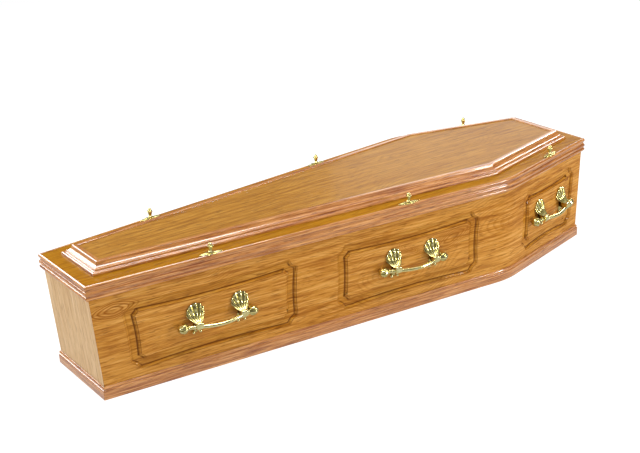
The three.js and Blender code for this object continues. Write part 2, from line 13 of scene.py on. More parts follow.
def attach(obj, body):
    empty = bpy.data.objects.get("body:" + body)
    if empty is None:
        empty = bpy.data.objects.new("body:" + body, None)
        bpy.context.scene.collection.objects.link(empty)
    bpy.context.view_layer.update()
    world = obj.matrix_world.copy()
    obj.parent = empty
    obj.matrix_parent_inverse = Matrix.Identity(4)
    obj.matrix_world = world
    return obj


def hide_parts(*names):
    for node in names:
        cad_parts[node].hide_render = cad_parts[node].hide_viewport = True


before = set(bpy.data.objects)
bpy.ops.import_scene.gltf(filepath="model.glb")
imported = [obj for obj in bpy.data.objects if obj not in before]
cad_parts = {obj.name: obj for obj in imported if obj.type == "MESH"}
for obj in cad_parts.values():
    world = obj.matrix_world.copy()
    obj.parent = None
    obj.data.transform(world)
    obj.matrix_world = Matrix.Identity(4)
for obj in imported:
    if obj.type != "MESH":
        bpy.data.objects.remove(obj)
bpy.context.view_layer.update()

# Plan of the lid, over its edge moulding
LENGTH = 1930.0
HALF = LENGTH / 2
FOOT_HALF = 154.7
SHOULDER_HALF = 300.3
HEAD_HALF = 174.8
SHOULDER_AT = 1452.0
SHOULDER_X = SHOULDER_AT - HALF
SHOULDER_RADIUS = 260.0
BEND_STEPS = 28

# Heights and boards
LID_TOP = 361.6
LID_THICKNESS = 18.0
GAP = 0.3
BODY_TOP = LID_TOP - LID_THICKNESS - GAP
WALL = 18.0
BASE_THICKNESS = 18.0
SIDE_INSET = (13.0, 8.6)
END_INSET = (30.0, 9.0)

# Mouldings
EDGE_THICKNESS = 8.0
EDGE_HEIGHT = 45.0
PLINTH_HEIGHT = 39.7
PLINTH_THICKNESS = 6.0
FRAME_SIDE_INSET = 55.5
FRAME_END_INSET = 51.3
FRAME_HEIGHT = 30.8
FRAME_SLOPE = 28.2
FRAME_WIDTH = 40.6
FRAME_LEDGE = 9.0
PANEL_THICKNESS = 9.0
PANEL_SINK = 3.2

# Routed panels
GROOVE_WIDTH = 36.4
GROOVE_FLOOR = 18.0
GROOVE_DEPTH = 6.6
GROOVE_STEP = 1.2
PANEL_LOW = 79.0
PANEL_HIGH = 262.0
PANEL_CORNER = 20.0
PANEL_CORNER_DIP = 3.0
PANEL_BOW = (8.0, 4.0)
# For each: its stretch of the side, start along it, length, and the lean of its two upright edges
PANELS = {
    "foot": ("foot", 95.5, 518.0, -0.07, 0.035),
    "middle": ("foot", 788.0, 502.0, 0.03, 0.03),
    "head": ("head", 111.5, 300.0, 0.03, 0.055),
}

# Handles
HANDLE_SPAN = 144.0
HANDLE_HEIGHT = 160.0
HANDLE_SHIFT = 9.5
BAR_RADIUS = 6.0
BAR_REACH = 128.0
BAR_SLIDE = 7.0
BAR_BOW = 134.0
BAR_OUT_MIDDLE = 40.0
BAR_OUT_TIP = 17.0
BAR_SAG = 5.0
BUD_RADIUS = 15.6
BUD_LENGTH = 36.0
BUD_NECK = 3.0
BUD_START = BAR_REACH - BUD_LENGTH
COLLAR_RISE = 1.4
SHELL_TOP = 65.0
SHELL_WIDTH = 58.0
SHELL_MIDDLE = 34.0
SHELL_SWEEP = math.radians(97)
SHELL_RIBS = 7
RIB_SPREAD = 0.22
RIM_SCALLOP = 0.10
FLUTE_DEPTH = 2.6
LIP_RISE = 1.3
NECK_UP = 11.0
NECK_WIDTH = 22.0
SHELL_PLACES = (0, 0.26, 0.48, 0.75, 1)
SHELL_OUT_MIDDLE = (34.0, 17.5, 11.5, 9.0, 2.6)
SHELL_OUT_EDGE = (29.5, 19.0, 12.0, 6.5, 2.6)
EYE_WALL = 3.2
DROP_RADIUS = 5.2
DROP_SPACING = 22.0
DROP_BELOW = 27.0

# Lid screws
SCREW_STATIONS = {"foot": 386.0, "middle": 1064.0, "head": 1709.0}
SCREW_INSET = 12.5
PLATE_LENGTH = 76.0
PLATE_WIDTH = 25.0
PLATE_CROWN = 4.0
PLATE_RIM = 0.8
PLATE_LOBES = 10
PLATE_SCALLOP = 0.34
VEIN_DEPTH = 1.6
RIM_BEAD = 0.7
BEAD_RISE = 0.8
KNOB_HEIGHT = 29.5
KNOB_RADIUS = 8.8
KNOB_WAIST = 4.4
KNOB_FOOT = 6.6
KNOB_BALL = 5.6
KNOB_DISC = KNOB_HEIGHT - 9.5
KNOB_FOOT_TOP = 1.6
KNOB_WAIST_AT = 5.0
KNOB_FLUTES = 12
KNOB_FLUTE_SHARE = 0.10


# Plan geometry
FOOT_SLOPE = math.atan2(SHOULDER_HALF - FOOT_HALF, SHOULDER_AT)
HEAD_SLOPE = math.atan2(SHOULDER_HALF - HEAD_HALF, LENGTH - SHOULDER_AT)


def inward(angle):
    return np.array([math.sin(angle), -math.cos(angle)])


FOOT_NORMAL = inward(FOOT_SLOPE)
HEAD_NORMAL = inward(-HEAD_SLOPE)


def unit(v):
    return v / np.linalg.norm(v)


def mitre(first, second):
    """How far a corner moves for each millimetre that both of its edges move inward."""
    return (first + second) / (1 + first @ second)


def side_plan(inset, end_inset, bent=True):
    """The +Y side of the plan as a path from the foot corner to the head corner.

    The shoulder is a bend of many short steps, or else one sharp corner.
    """
    shoulder = np.array([SHOULDER_X, SHOULDER_HALF]) + mitre(FOOT_NORMAL, HEAD_NORMAL) * inset
    foot_x = -HALF + end_inset
    head_x = HALF - end_inset
    foot = np.array([foot_x, shoulder[1] - (shoulder[0] - foot_x) * math.tan(FOOT_SLOPE)])
    head = np.array([head_x, shoulder[1] - (head_x - shoulder[0]) * math.tan(HEAD_SLOPE)])
    if not bent:
        return np.array([foot, shoulder, head])
    turn = FOOT_SLOPE + HEAD_SLOPE
    radius = SHOULDER_RADIUS - inset
    along = np.array([math.cos(FOOT_SLOPE), math.sin(FOOT_SLOPE)])
    start = shoulder - along * radius * math.tan(turn / 2)
    centre = start + FOOT_NORMAL * radius
    angles = [math.pi / 2 + FOOT_SLOPE - turn * i / BEND_STEPS for i in range(BEND_STEPS + 1)]
    bend = [centre + radius * np.array([math.cos(a), math.sin(a)]) for a in angles]
    return np.array([foot, *bend, head])


def inset_at(pair, z):
    return pair[0] + (pair[1] - pair[0]) * z / BODY_TOP


def body_plan(z, inset=0.0, bent=True):
    """Plan of the body's leaning outside at a height, drawn in by an inset."""
    return side_plan(inset_at(SIDE_INSET, z) + inset, inset_at(END_INSET, z) + inset, bent)


def mitres_of(path):
    normals = [np.array([1.0, 0.0])]
    for a, b in zip(path[:-1], path[1:]):
        run = unit(b - a)
        normals.append(np.array([run[1], -run[0]]))
    normals.append(np.array([-1.0, 0.0]))
    return np.array([mitre(a, b) for a, b in zip(normals[:-1], normals[1:])])


def eased(path):
    """The path with both ends drawn back, so that mitred neighbours stay apart."""
    copy = np.array(path, float)
    copy[0] += unit(path[1] - path[0]) * GAP
    copy[-1] += unit(path[-2] - path[-1]) * GAP
    return copy


def end_run(corner, vector):
    path = np.array([corner, [corner[0], -corner[1]]])
    mitres = np.array([vector, [vector[0], -vector[1]]])
    return path, mitres


def smoothstep(t):
    t = np.clip(t, 0, 1)
    return t * t * (3 - 2 * t)


def hump(t, place, width):
    return np.exp(-(((t - place) / width) ** 2))


def swell(start, end, rise, steps):
    """Points of a shallow curve between two points, without the points themselves."""
    (x0, y0), (x1, y1) = start, end
    dx, dy = x1 - x0, y1 - y0
    length = math.hypot(dx, dy)
    points = []
    for i in range(1, steps):
        t = i / steps
        lift = rise * 4 * t * (1 - t) / length
        points.append((x0 + dx * t - dy * lift, y0 + dy * t + dx * lift))
    return points


def rounded(profile, radius, steps=3):
    """A closed profile with each corner turned by a small arc."""
    points = np.array(profile, float)
    count = len(points)
    out = []
    for i in range(count):
        before, here, after = points[i - 1], points[i], points[(i + 1) % count]
        a, b = here - before, after - here
        la, lb = np.linalg.norm(a), np.linalg.norm(b)
        bend = math.acos(max(-1.0, min(1.0, float(a @ b) / (la * lb))))
        if bend < 0.3:
            out.append(here)
            continue
        cut = min(radius * math.tan(bend / 2), la * 0.4, lb * 0.4)
        p, q = here - a / la * cut, here + b / lb * cut
        for k in range(steps + 1):
            t = k / steps
            out.append(p * (1 - t) ** 2 + here * 2 * t * (1 - t) + q * t**2)
    return np.array(out)


# Mesh making
def put_values(mesh, name, values):
    """One value for each point, for a material to read."""
    attribute = mesh.attributes.new(name, "FLOAT", "POINT")
    attribute.data.foreach_set("value", values.astype(np.float32))


def put_uv(mesh, values):
    layer = mesh.uv_layers.get("grain") or mesh.uv_layers.new(name="grain")
    layer.data.foreach_set("uv", np.asarray(values, np.float32).ravel())


def add_object(name, data):
    obj = bpy.data.objects.new(name, data)
    bpy.context.scene.collection.objects.link(obj)
    return obj


def make_object(name, points, faces, material, uvs=None, angle=35.0):
    """A mesh object from points in millimetres. uvs holds one pair for each corner of each face."""
    mesh = bpy.data.meshes.new(name)
    mesh.from_pydata((np.asarray(points, float) * 0.001).tolist(), [], [tuple(f) for f in faces])
    mesh.validate()
    if uvs is not None:
        put_uv(mesh, uvs)
    mesh.materials.append(material)
    obj = add_object(name, mesh)
    smooth_by_angle(mesh, angle)
    return obj


def smooth_by_angle(mesh, angle):
    mesh.shade_smooth()
    mesh.set_sharp_from_angle(angle=math.radians(angle))


def band(a, b, count):
    """Faces between two closed rings whose points start at a and at b."""
    turn = [(i, (i + 1) % count) for i in range(count)]
    return [(a + i, a + j, b + j, b + i) for i, j in turn]


def loft(rings):
    """Points and faces through rings of equal count, capped at both ends."""
    count = len(rings[0])
    points = np.concatenate([np.asarray(r, float) for r in rings])
    faces = []
    for r in range(len(rings) - 1):
        faces += band(r * count, (r + 1) * count, count)
    last = (len(rings) - 1) * count
    faces.append(tuple(range(count - 1, -1, -1)))
    faces.append(tuple(range(last, last + count)))
    return points, faces


def turned_round(faces):
    return [tuple(reversed(f)) for f in faces]


def turned_out(points, faces):
    """The faces, all turned round if they face inward."""
    p = np.asarray(points, float)
    volume = 0.0
    for f in faces:
        for i in range(1, len(f) - 1):
            volume += float(np.dot(p[f[0]], np.cross(p[f[i]], p[f[i + 1]])))
    return turned_round(faces) if volume < 0 else list(faces)


def set_on(obj, node):
    """The piece stands for its CAD node and rides on the one body."""
    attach(obj, "root")
    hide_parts(node)


# Node helpers for the materials
SPAN_SOCKETS = ("From Min", "From Max", "To Min", "To Max")


class Nodes:
    def __init__(self, name):
        self.material = bpy.data.materials.new(name)
        self.material.use_nodes = True
        self.tree = self.material.node_tree
        self.shader = self.tree.nodes["Principled BSDF"]
        self.count = 0

    def new(self, kind, **settings):
        node = self.tree.nodes.new(kind)
        node.location = (-220 * (self.count % 9) - 300, -260 * (self.count // 9))
        self.count += 1
        for key, value in settings.items():
            setattr(node, key, value)
        return node

    def put(self, socket, value):
        if hasattr(value, "is_output"):
            self.tree.links.new(value, socket)
        else:
            socket.default_value = value

    def give(self, name, value):
        """A link or a plain value for one of the shader's own sockets."""
        self.put(self.shader.inputs[name], value)

    def math(self, operation, a, b=0.0):
        node = self.new("ShaderNodeMath", operation=operation)
        self.put(node.inputs[0], a)
        self.put(node.inputs[1], b)
        return node.outputs[0]

    def times(self, a, b):
        return self.math("MULTIPLY", a, b)

    def plus(self, a, b):
        return self.math("ADD", a, b)

    def minus(self, a, b):
        return self.math("SUBTRACT", a, b)

    def combine(self, x, y, z=0.0):
        node = self.new("ShaderNodeCombineXYZ")
        for socket, value in zip(node.inputs, (x, y, z)):
            self.put(socket, value)
        return node.outputs[0]

    def noise(self, vector, scale=1.0, detail=2.0, roughness=0.5):
        node = self.new("ShaderNodeTexNoise")
        self.put(node.inputs["Vector"], vector)
        self.put(node.inputs["Scale"], scale)
        self.put(node.inputs["Detail"], detail)
        self.put(node.inputs["Roughness"], roughness)
        return node.outputs["Fac"]

    def drawn_out(self, u, v, along, across, offset=0.0, **settings):
        """Noise drawn out along the grain."""
        spot = self.combine(self.times(u, along), self.times(v, across), offset)
        return self.noise(spot, **settings)

    def ramp(self, value, stops):
        node = self.new("ShaderNodeValToRGB")
        ramp = node.color_ramp
        while len(ramp.elements) < len(stops):
            ramp.elements.new(0.5)
        for element, (place, colour) in zip(ramp.elements, stops):
            element.position = place
            shade = colour if isinstance(colour, tuple) else (colour, colour, colour)
            element.color = (*shade, 1.0)
        self.put(node.inputs["Fac"], value)
        return node.outputs["Color"]

    def mix(self, factor, a, b, blend="MIX"):
        node = self.new("ShaderNodeMix", data_type="RGBA", blend_type=blend)
        self.put(node.inputs[0], factor)
        self.put(node.inputs[6], a if hasattr(a, "is_output") else (*a, 1.0))
        self.put(node.inputs[7], b if hasattr(b, "is_output") else (*b, 1.0))
        return node.outputs[2]

    def span(self, value, low, high, to_low=0.0, to_high=1.0):
        node = self.new("ShaderNodeMapRange")
        self.put(node.inputs["Value"], value)
        for key, number in zip(SPAN_SOCKETS, (low, high, to_low, to_high)):
            node.inputs[key].default_value = number
        return node.outputs["Result"]

    def bump(self, height, strength, distance):
        node = self.new("ShaderNodeBump")
        self.put(node.inputs["Height"], height)
        node.inputs["Strength"].default_value = strength
        node.inputs["Distance"].default_value = distance
        return node.outputs["Normal"]


# Colour of the painted shade in the grooves' corners and lips
GROOVE_SHADE_COLOUR = (0.125, 0.032, 0.0)
COAT_ROUGHNESS = 0.11


def oak(
    name, light, middle, dark, figure=1.0, spacing=0.0085, centre=0.17, streak=0.8,
    rough=(0.34, 0.46), gloss=0.3, coat=0.1, coat_ior=1.5, fineness=1.0, groove_shade=False, eyes=()
):
    """Lacquered oak. The UV map runs along the grain and across it, in metres.

    An eye is a placed figure: its place along and across the grain, half length, half height, slope,
    count of rings and strength.
    """
    n = Nodes(name)
    uv = n.new("ShaderNodeTexCoord").outputs["UV"]
    split = n.new("ShaderNodeSeparateXYZ")
    n.put(split.inputs[0], uv)
    u, v = split.outputs["X"], split.outputs["Y"]

    # Growth rings cut by a plane that drifts in and out of the log
    slow = n.drawn_out(u, v, 1.6, 1.2)
    wander = n.span(slow, 0.25, 0.75, -0.10, 0.10)
    deep_noise = n.noise(n.combine(n.times(u, 2.1), 7.3), detail=1.0)
    deep = n.span(deep_noise, 0.3, 0.7, -0.05, 0.09)
    ripple = n.span(n.drawn_out(u, v, 14.0, 26.0, detail=3.0), 0.3, 0.7, -0.004, 0.004)
    off = n.plus(n.minus(v, centre), n.plus(wander, ripple))
    radius = n.math("SQRT", n.plus(n.times(off, off), n.times(deep, deep)))
    ring = n.math("FRACT", n.times(radius, 1.0 / spacing))
    ring_line = n.ramp(ring, [(0.0, 0.15), (0.45, 0.0), (0.86, 1.0), (1.0, 0.15)])
    patch = n.drawn_out(u, v, 4.0, 9.0, 3.1)
    ring_line = n.times(ring_line, n.span(patch, 0.38, 0.68, 0.1, 1.0))

    # Rings round each pointed eye, fading out with distance
    for eye_u, eye_v, length, height, slope, rings, strength in eyes:
        du = n.minus(u, eye_u)
        dv = n.minus(n.minus(v, eye_v), n.times(du, slope))
        dv = n.plus(dv, n.times(ripple, 0.35))
        far = n.math("ABSOLUTE", n.times(du, 1 / length))
        tall = n.math("ABSOLUTE", n.times(dv, 1 / height))
        reach = n.plus(n.math("POWER", far, 1.5), n.math("POWER", tall, 1.5))
        wave = n.math("FRACT", n.times(reach, rings))
        line = n.ramp(wave, [(0.0, 0.3), (0.35, 0.0), (0.8, 1.0), (1.0, 0.3)])
        fade = n.times(n.span(reach, 1.0, 0.55), strength)
        ring_line = n.times(ring_line, n.span(reach, 0.6, 1.0))
        ring_line = n.plus(ring_line, n.times(line, fade))

    # Fibres, and the short dark pores of oak
    fibre = n.drawn_out(u, v, 10.0, 190.0, detail=5.0, roughness=0.65)
    coarse = n.drawn_out(u, v, 5.0, 85.0 * fineness, 5.0, detail=3.0)
    pore = n.span(n.drawn_out(u, v, 20.0, 210.0), 0.57, 0.65)
    cloud = n.drawn_out(u, v, 2.2, 7.0, 9.0)

    tone = n.plus(n.times(fibre, 0.5), n.times(coarse, 0.5))
    base = n.ramp(tone, [(0.40, dark), (0.50, middle), (0.60, light)])
    even = n.mix(streak, middle, base)
    clouded = n.mix(n.span(cloud, 0.3, 0.7, 0.0, 0.30), even, light)
    ringed = n.mix(n.times(ring_line, 0.5 * figure), clouded, dark)
    colour = n.mix(n.times(pore, 0.5), ringed, tuple(c * 0.55 for c in dark))
    # Painted shade: dark lines in the grooves' corners and lips, read from the side boards
    if groove_shade:
        shade = n.new("ShaderNodeAttribute", attribute_name="groove_shade").outputs["Fac"]
        # Painted light: an olive tint over the grooves' cut-in faces, for how their slopes are lit
        cut_in = n.new("ShaderNodeAttribute", attribute_name="routed").outputs["Fac"]
        slope_tint = n.mix(n.times(cut_in, 0.8), (1, 1, 1), (0.92, 0.88, 0.55))
        routed = n.mix(1.0, colour, slope_tint, blend="MULTIPLY")
        colour = n.mix(shade, routed, GROOVE_SHADE_COLOUR)
    n.give("Base Color", colour)
    n.give("Roughness", n.span(fibre, 0.3, 0.7, *rough))
    height = n.minus(n.times(fibre, 0.5), n.times(pore, 0.5))
    n.give("Normal", n.bump(height, 0.35, 0.0004))
    n.give("Specular IOR Level", gloss)
    n.give("Coat Weight", coat)
    n.give("Coat Roughness", COAT_ROUGHNESS)
    n.give("Coat IOR", coat_ior)
    return n.material


def brass(name):
    """Pale polished brass; rougher in its hollows, with painted shade there: olive, and near black where
    deepest.
    """
    n = Nodes(name)
    hollow_shade = n.new("ShaderNodeAttribute", attribute_name="hollow_shade").outputs["Fac"]
    place = n.new("ShaderNodeTexCoord").outputs["Object"]
    mottle = n.noise(place, scale=90.0, detail=3.0)
    fine = n.noise(place, scale=900.0, detail=2.0)
    bright = n.ramp(mottle, [(0.35, (0.84, 0.72, 0.27)), (0.65, (0.93, 0.86, 0.45))])
    # Painted shade: olive in the hollows, near black at the highest values
    shaded_olive = n.mix(n.span(hollow_shade, 0.0, 0.8), bright, (0.34, 0.27, 0.03))
    colour = n.mix(n.span(hollow_shade, 0.7, 1.0), shaded_olive, (0.04, 0.025, 0.002))
    n.give("Base Color", colour)
    n.give("Metallic", 1.0)
    worn = n.plus(n.span(mottle, 0.3, 0.7, 0.13, 0.22), n.times(hollow_shade, 0.25))
    n.give("Roughness", worn)
    n.give("Normal", n.bump(fine, 0.08, 0.0002))
    return n.material


OAK_SIDE = oak(
    "oak_side", (0.71, 0.365, 0.088), (0.53, 0.220, 0.027), (0.275, 0.076, 0.003),
    gloss=0.0, coat=0.4, groove_shade=True, eyes=[
        (0.060, 0.268, 0.095, 0.034, 0.04, 5.0, 2.0),
        (1.210, 0.205, 0.110, 0.045, 0.35, 6.0, 1.5),
        (1.045, 0.210, 0.060, 0.030, -0.5, 6.0, 1.0),
    ]
)
OAK_LID = oak(
    "oak_lid", (0.47, 0.222, 0.012), (0.37, 0.148, 0.004), (0.22, 0.068, 0.001),
    centre=0.02, spacing=0.011, gloss=0.05
)
OAK_PANEL = oak(
    "oak_panel", (0.50, 0.25, 0.036), (0.385, 0.162, 0.010), (0.22, 0.075, 0.002),
    centre=0.02, spacing=0.011, gloss=0.35
)
OAK_END = oak(
    "oak_end", (0.66, 0.47, 0.28), (0.57, 0.37, 0.18), (0.42, 0.23, 0.085),
    figure=0.45, centre=0.3, gloss=0.1, coat=0.05
)
MOULDING_COLOURS = ((0.70, 0.33, 0.100), (0.48, 0.170, 0.022), (0.23, 0.045, 0.001))
OAK_MOULDING = oak(
    "oak_moulding", *MOULDING_COLOURS, streak=1.0, figure=0.5, rough=(0.24, 0.36), gloss=0.35, coat=1.0,
    coat_ior=1.7, fineness=2.2
)
OAK_MOULDING_END = oak(
    "oak_moulding_end", *MOULDING_COLOURS, streak=1.0, figure=0.5, rough=(0.18, 0.32), gloss=0.6, coat=1.0
)
BRASS = brass("polished_brass")


# Mouldings
def edge_profile():
    foot = -EDGE_HEIGHT
    torus_top = (3.6, foot + 12.5)
    fascia_top = (1.8, foot + 25)
    hollow_top = (3.2, foot + 33)
    bead_top = (4.4, BEAD_RISE)
    return [
        (EDGE_THICKNESS, foot), (3.6, foot),
        *swell((3.6, foot), torus_top, 3.4, 12),
        torus_top, (3.6, foot + 14), (2, foot + 15),
        *swell((2, foot + 15), fascia_top, 1.7, 10),
        fascia_top, *swell(fascia_top, hollow_top, -1.6, 8),
        hollow_top, *swell(hollow_top, bead_top, 3.4, 16),
        bead_top, (EDGE_THICKNESS - 1, BEAD_RISE), (EDGE_THICKNESS, 0),
    ]


def plinth_profile():
    top = PLINTH_HEIGHT
    deep = PLINTH_THICKNESS
    step = top - 8
    return [
        (deep, 0), (0, 0), (0, step - 4), (1.04, step - 2.5), (2.6, step - 2), (2.2, step),
        *swell((2.2, step), (deep * 0.7, top), 1.4, 10),
        (deep * 0.7, top), (deep, top),
    ]


def frame_profile():
    top = FRAME_HEIGHT
    ledge = top - PANEL_SINK - PANEL_THICKNESS - GAP
    cove_top = (FRAME_SLOPE - 2.8, top - 3.2)
    return [
        (FRAME_WIDTH + FRAME_LEDGE, 0), (0, 0), (0, 2),
        *swell((0, 2), (8.6, 8), 3.2, 12),
        (8.6, 8), (10, 6.8), (11.4, 8), (11.8, 12.6),
        *swell((11.8, 12.6), (16.2, 14.6), 1.3, 8),
        (16.2, 14.6), *swell((16.2, 14.6), cove_top, -1.8, 10),
        cove_top, (FRAME_SLOPE - 2.2, top - 1.07), (FRAME_SLOPE, top),
        (FRAME_WIDTH - 1.4, top), (FRAME_WIDTH, top - 1.4), (FRAME_WIDTH, ledge),
        (FRAME_WIDTH + FRAME_LEDGE, ledge),
    ]


ARRIS = 0.5
GRAIN_SHIFT = 0.731
pieces_made = 0


def sweep(node, profile, path, mitres, base, side=1, look=OAK_MOULDING):
    """A moulding along a path; its UV map follows the path and the profile."""
    global pieces_made
    pieces_made += 1
    outline = rounded(profile, ARRIS)
    places = eased(path)
    steps = np.linalg.norm(np.diff(places, axis=0), axis=1)
    travel = np.concatenate([[0], np.cumsum(steps)])
    rings = []
    for place, vector in zip(places, mitres):
        flat = place + outline[:, :1] * vector
        rings.append(np.column_stack([flat, base + outline[:, 1]]))
    points, faces = loft(rings)
    reach = np.linalg.norm(np.diff(np.vstack([outline, outline[:1]]), axis=0), axis=1)
    around = np.concatenate([[0], np.cumsum(reach)])
    shift = GRAIN_SHIFT * pieces_made
    face_uvs = []
    for s, t in zip(travel[:-1], travel[1:]):
        for a, b in zip(around[:-1], around[1:]):
            face_uvs.append([(s, a), (s, b), (t, b), (t, a)])
    face_uvs += [list(outline[::-1]), list(outline)]
    if side < 0:
        points[:, 1] *= -1
    turned = turned_out(points, faces)
    if turned[0] != faces[0]:
        face_uvs = [f[::-1] for f in face_uvs]
    uvs = np.array([uv for f in face_uvs for uv in f]) * 0.001 + [shift, shift * 0.37]
    obj = make_object(f"{node}_fine", points, turned, look, uvs, angle=30)
    set_on(obj, node)


def moulding_set(name, profile, path, base):
    mitres = mitres_of(path)
    sweep(f"{name}_left", profile, path, mitres, base)
    sweep(f"{name}_right", profile, path, mitres, base, side=-1)
    for end, pick in (("foot", 0), ("head", -1)):
        run = end_run(path[pick], mitres[pick])
        sweep(f"{name}_{end}", profile, *run, base, look=OAK_MOULDING_END)


def build_mouldings():
    top = PLINTH_HEIGHT
    outset = PLINTH_THICKNESS + GAP
    moulding_set("plinth_moulding", plinth_profile(), body_plan(top, -outset), 0)
    moulding_set("lid_moulding", edge_profile(), side_plan(0, 0), LID_TOP)
    outline = side_plan(FRAME_SIDE_INSET, FRAME_END_INSET, False)
    mitres = mitres_of(outline)
    base = LID_TOP + GAP
    profile = frame_profile()
    for name, i in (("long", 0), ("shoulder", 1)):
        run = (outline[i : i + 2], mitres[i : i + 2], base)
        sweep(f"raised_frame_{name}_left", profile, *run)
        sweep(f"raised_frame_{name}_right", profile, *run, side=-1)
    for name, pick in (("foot", 0), ("head", -1)):
        run = end_run(outline[pick], mitres[pick])
        sweep(f"raised_frame_{name}", profile, *run, base, look=OAK_MOULDING_END)


# Boards
def wall_rings(path_at):
    rings = []
    for z in (0.0, BODY_TOP):
        path, mitres = path_at(z)
        places = eased(path)
        outer = np.column_stack([places, np.full(len(places), z)])
        inner = np.column_stack([places + mitres * WALL, np.full(len(places), z)])
        rings.append(np.concatenate([outer, inner[::-1]]))
    return rings


def board_faces(rings):
    """Faces of a wall whose two rings run along the outside and back along the inside."""
    count = len(rings[0])
    faces = band(0, count, count)
    for a in range(count // 2 - 1):
        b = a + 1
        c, d = count - 2 - a, count - 1 - a
        faces.append((d, c, b, a))
        faces.append((count + a, count + b, count + c, count + d))
    return faces


def body_corners(z):
    path = body_plan(z, bent=False)
    return np.column_stack([path, np.full(len(path), z)])


def face_frame(stretch):
    """Foot corner, grain, up and outward directions of one flat stretch of the left side."""
    low, high = body_corners(0.0), body_corners(BODY_TOP)
    i = 1 if stretch == "head" else 0
    along = unit(low[i + 1] - low[i])
    rise = high[i] - low[i]
    up = unit(rise - along * (rise @ along))
    return low[i], along, up, unit(np.cross(up, along))


FACES = {name: face_frame(name) for name in ("foot", "head")}


def on_face(stretch, u, z, out):
    origin, along, up, normal = FACES[stretch]
    return origin + along * u + up * (z / up[2]) + normal * out


def panel_line(spec):
    """Middle line of a routed panel: four hollowed edges and four notched corners."""
    _, start, length, lean_start, lean_end = spec
    middle = (PANEL_LOW + PANEL_HIGH) / 2

    def left(z):
        return start + lean_start * (z - middle)

    def right(z):
        return start + length + lean_end * (z - middle)

    low, high = PANEL_LOW + PANEL_CORNER, PANEL_HIGH - PANEL_CORNER
    c = PANEL_CORNER
    edges = [
        ((left(PANEL_LOW) + c, PANEL_LOW), (right(PANEL_LOW) - c, PANEL_LOW)),
        ((right(low), low), (right(high), high)),
        ((right(PANEL_HIGH) - c, PANEL_HIGH), (left(PANEL_HIGH) + c, PANEL_HIGH)),
        ((left(high), high), (left(low), low)),
    ]
    line = []
    for i, (a, b) in enumerate(edges):
        bow, steps = PANEL_BOW[i % 2], (24, 12)[i % 2]
        following = edges[(i + 1) % 4][0]
        line += [a, *swell(a, b, bow, steps), b, *swell(b, following, PANEL_CORNER_DIP, 6)]
    return np.array(line)


FLOOR_STATIONS = (6.0, 4.5, 3.2, 2.2, 1.4, 0.7)
COVE_STEPS = 12


def groove_section():
    """Half of the groove's section, from its floor out, as [across, depth]."""
    edge, foot = GROOVE_WIDTH / 2, GROOVE_FLOOR / 2
    run = edge - foot
    half = [(foot - back, -GROOVE_DEPTH) for back in FLOOR_STATIONS]
    for k in range(COVE_STEPS):
        t = k / COVE_STEPS
        cove = t**1.7 if t < 0.5 else 1 - (1 - t) ** 1.9 * 1.15
        half.append((foot + run * t, -GROOVE_DEPTH + (GROOVE_DEPTH - GROOVE_STEP) * cove))
    half += [(edge - 0.25, -GROOVE_STEP), (edge, -GROOVE_STEP + 0.2), (edge, -0.4), (edge + 0.4, 0.02)]
    half.append((edge + 0.4, GROOVE_DEPTH))
    return half


def groove_cutter(spec):
    line = panel_line(spec)
    half = groove_section()
    section = [*half, *[(-a, d) for a, d in reversed(half)]]
    count = len(line)
    rings = []
    for i in range(count):
        before = unit(line[i] - line[i - 1])
        after = unit(line[(i + 1) % count] - line[i])
        side = mitre(np.array([before[1], -before[0]]), np.array([after[1], -after[0]]))
        rings.append([on_face(spec[0], *(line[i] + side * a), d) for a, d in section])
    size = len(section)
    points = np.array(rings).reshape(-1, 3)
    faces = []
    for r in range(count):
        faces += band(r * size, (r + 1) % count * size, size)
    return points, turned_out(points, faces)


def nearest(spots, path):
    """For each spot: distance to the path, the gap's two parts, and how far along it lies."""
    best = np.full(len(spots), 1e9)
    gaps = np.zeros((len(spots), 2))
    travel = np.zeros(len(spots))
    done = 0.0
    for a, b in zip(path[:-1], path[1:]):
        run = b - a
        length = np.linalg.norm(run)
        t = ((spots - a) @ run) / length**2
        gap = spots - (a + np.clip(t, 0, 1)[:, None] * run)
        d = np.linalg.norm(gap, axis=1)
        closer = d < best
        best[closer] = d[closer]
        gaps[closer] = gap[closer]
        travel[closer] = (done + np.clip(t, -0.1, 1.1) * length)[closer]
        done += length
    return best, gaps, travel


CORNER_SHADE_AT = GROOVE_FLOOR / 2 + 0.6
CORNER_SHADE_SPREAD = 2.1


def groove_shade_of(points):
    """Two values from 0 to 1: painted shade in the grooves' corners and along their lips, heavier on each
    groove's lower and headward sides, and how far a point is cut in.
    """
    groove_shade = np.zeros(len(points))
    routed = np.zeros(len(points))
    for spec in PANELS.values():
        origin, along, up, normal = FACES[spec[0]]
        rel = points - origin
        out = rel @ normal
        spots = np.column_stack([rel @ along, (rel @ up) * up[2]])
        near = (out < -0.05) & (out > -GROOVE_DEPTH - 0.5)
        line = panel_line(spec)
        d, gaps, _ = nearest(spots[near], np.vstack([line, line[:1]]))
        share = (gaps[:, 0] - gaps[:, 1]) / np.maximum(d, 1e-6)
        inside = d < GROOVE_WIDTH / 2 + 0.6
        # Painted shade is heaviest on each groove's lower and headward sides, which the light leaves in
        # shadow
        facing = smoothstep(0.5 + share * 0.9)
        corner = np.exp(-np.abs((d - CORNER_SHADE_AT) / CORNER_SHADE_SPREAD) ** 2.4)
        corner *= 0.25 + 0.75 * facing
        lip = hump(d, GROOVE_WIDTH / 2 - 0.5, 1.0) * (0.3 + 0.4 * facing)
        value = np.where(inside, np.maximum(corner, lip), 0)
        groove_shade[near] = np.maximum(groove_shade[near], value)
        routed[near] = np.maximum(routed[near], np.where(inside, np.clip(-out[near] / 2, 0, 1), 0))
    return groove_shade, routed


